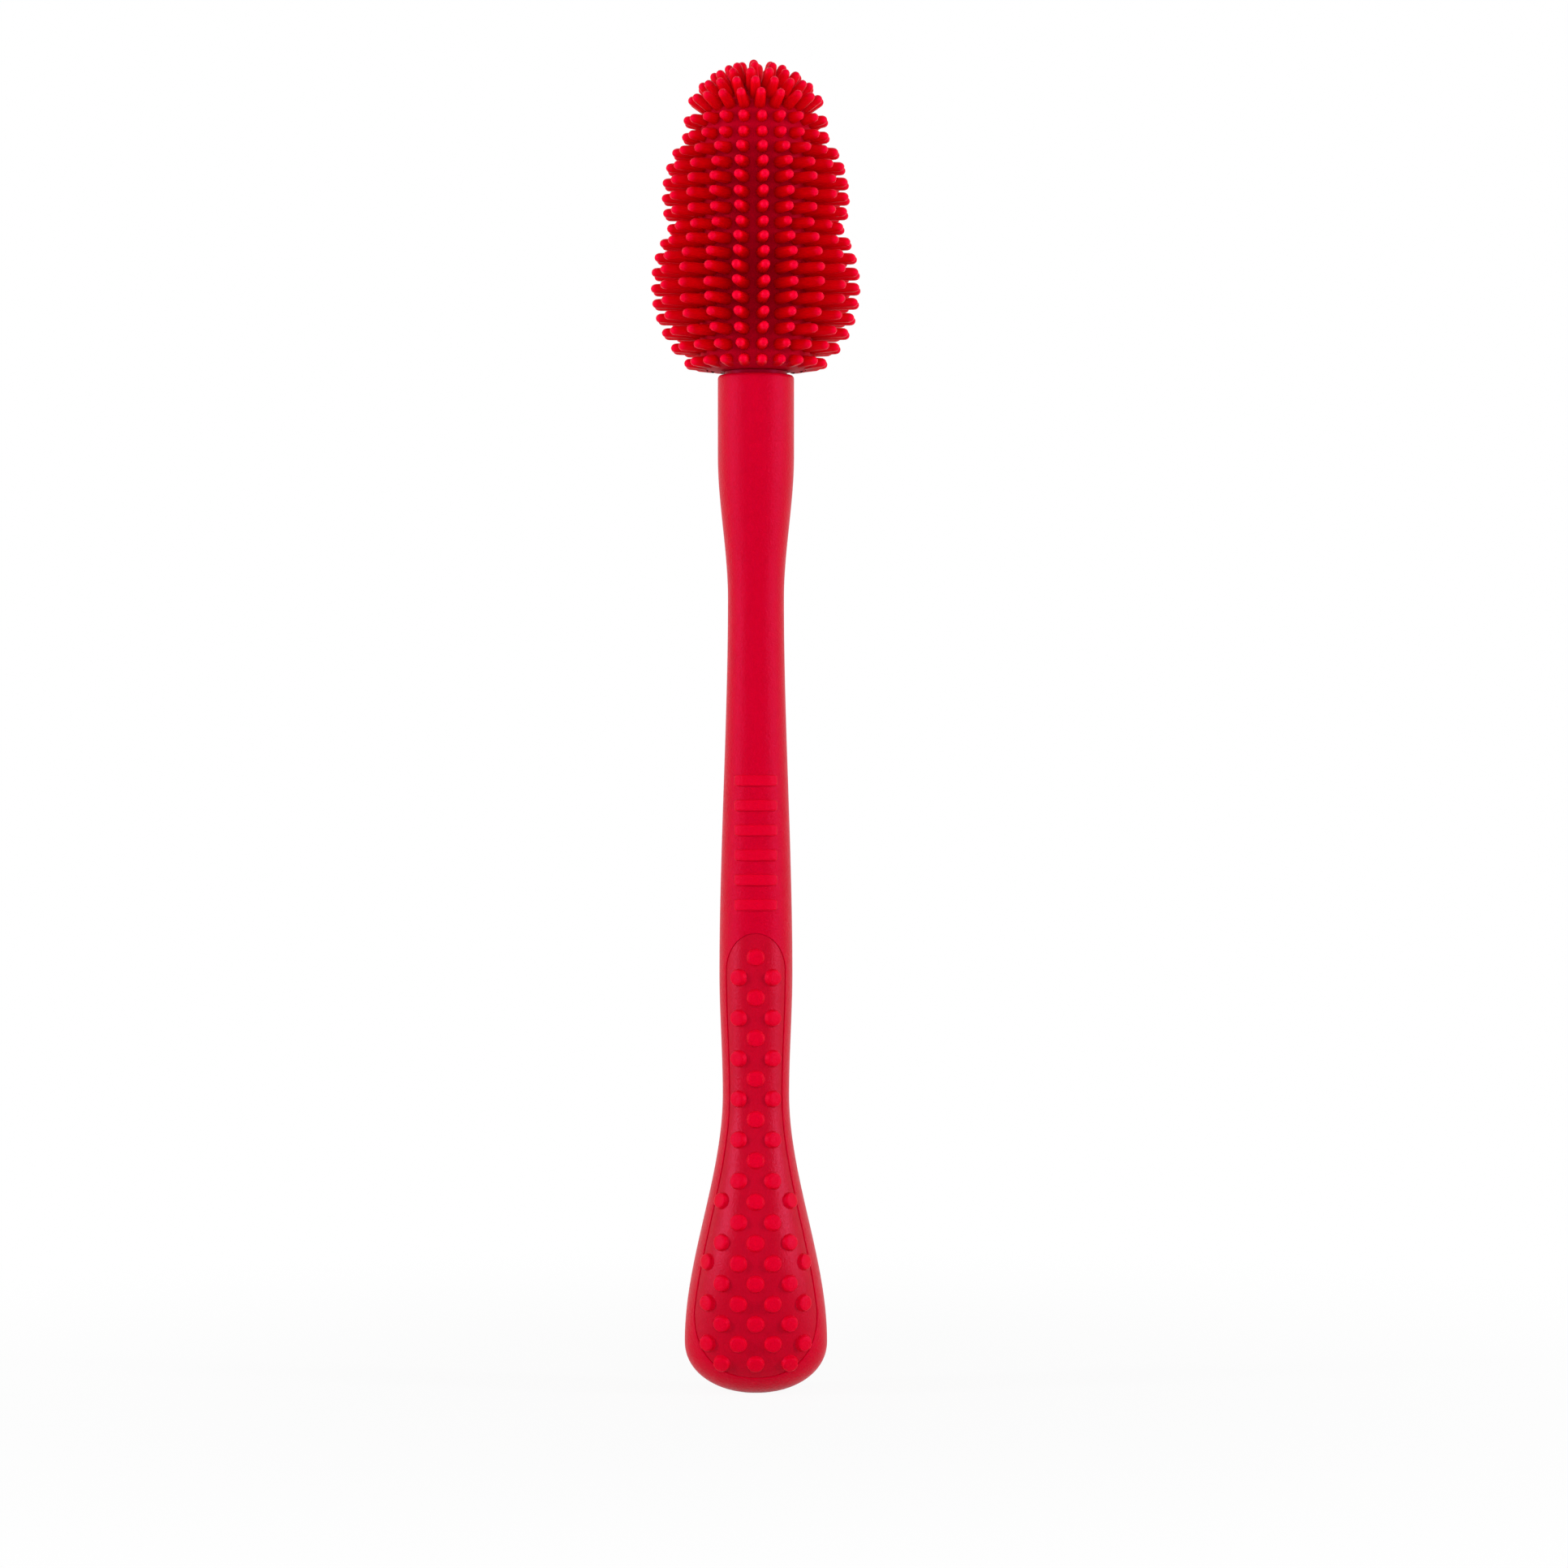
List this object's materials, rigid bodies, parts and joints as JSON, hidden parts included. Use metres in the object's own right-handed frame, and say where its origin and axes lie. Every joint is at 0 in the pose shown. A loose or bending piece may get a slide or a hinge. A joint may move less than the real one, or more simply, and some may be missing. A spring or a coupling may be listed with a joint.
{
  "type": "pet toothbrush",
  "caption": "Slim red silicone hand brush with a lobed all-round head of soft fingers and a dotted grip, for cleaning a pet's teeth and hollow toys.",
  "frame": {"origin": "middle of the butt's lowest point, under the brush's axis", "axes": "+Z along the brush from the butt to the crown of the head; the front, with the thumb bars, faces -Y; +X is to the right seen from the front"},
  "size_m": [0.0282, 0.0256, 0.1778],
  "materials": {
    "grip_silicone": "satin",
    "pad_silicone": "satin",
    "head_silicone": "satin",
    "core_nylon": "matte"
  },
  "bodies": {
    "handle": {"handle_grip": "grip_silicone", "front_grip_pad": "pad_silicone", "back_grip_pad": "pad_silicone", "core_spine": "core_nylon"},
    "head": {"head_base_ring": "head_silicone", "head_lower_lobe": "head_silicone", "head_waist": "head_silicone", "head_upper_lobe": "head_silicone", "head_crown": "head_silicone"}
  },
  "joints": [
    {"name": "head_pull_off", "type": "slide", "parent": "handle", "child": "head", "axis": [0, 0, 1], "range_m": [0, 0.036]}
  ]
}
